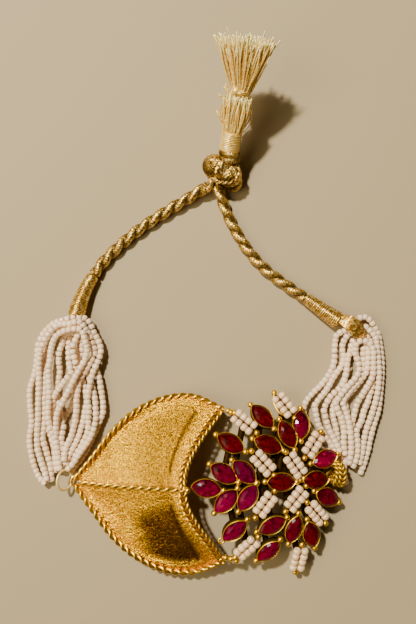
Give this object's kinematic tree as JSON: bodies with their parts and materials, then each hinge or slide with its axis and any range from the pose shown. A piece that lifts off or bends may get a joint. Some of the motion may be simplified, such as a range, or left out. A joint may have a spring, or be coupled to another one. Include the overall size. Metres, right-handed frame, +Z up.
{
  "type": "ruby bracelet",
  "caption": "Adjustable bracelet with a gold leaf and a domed ruby rosette, seed-bead strands, and twisted gold cords joined by a knot with a thread tassel.",
  "frame": {"origin": "on the surface that the bracelet lies on, below the middle of its loop", "axes": "+Z up from the surface, +X along the ornament from the leaf to the rosette, +Y from the ornament to the tassel"},
  "size_m": [0.0764, 0.1104, 0.0199],
  "materials": {
    "leaf_gold": "stippled matte gold with twisted rope rims",
    "setting_gold": "polished gold",
    "ring_gold": "polished pale gold",
    "ruby": "cut and polished, deep red to magenta",
    "seed_beads": "glossy cream",
    "gold_thread": "wound metallic thread",
    "gold_cord": "twisted metallic thread"
  },
  "bodies": {
    "root": {"leaf": "leaf_gold", "rosette_frame": "setting_gold", "ruby_01": "ruby", "ruby_02": "ruby", "ruby_03": "ruby", "ruby_04": "ruby", "ruby_05": "ruby", "ruby_06": "ruby", "ruby_07": "ruby", "ruby_08": "ruby", "ruby_09": "ruby", "ruby_10": "ruby", "ruby_11": "ruby", "ruby_12": "ruby", "ruby_13": "ruby", "ruby_14": "ruby", "ruby_15": "ruby", "ruby_16": "ruby", "ruby_17": "ruby", "ruby_18": "ruby", "ruby_19": "ruby", "bead_panel_01": "seed_beads", "bead_panel_02": "seed_beads", "bead_panel_03": "seed_beads", "bead_panel_04": "seed_beads", "bead_panel_05": "seed_beads", "bead_panel_06": "seed_beads", "bead_panel_07": "seed_beads", "bead_panel_08": "seed_beads", "bead_panel_09": "seed_beads", "bead_panel_10": "seed_beads", "jump_ring": "ring_gold", "left_bead_strands": "seed_beads", "right_bead_strands": "seed_beads", "left_wrap": "gold_thread", "right_wrap": "gold_thread", "left_cord": "gold_cord", "right_cord": "gold_cord", "knot": "gold_thread", "tassel": "gold_thread"}
  },
  "joints": []
}
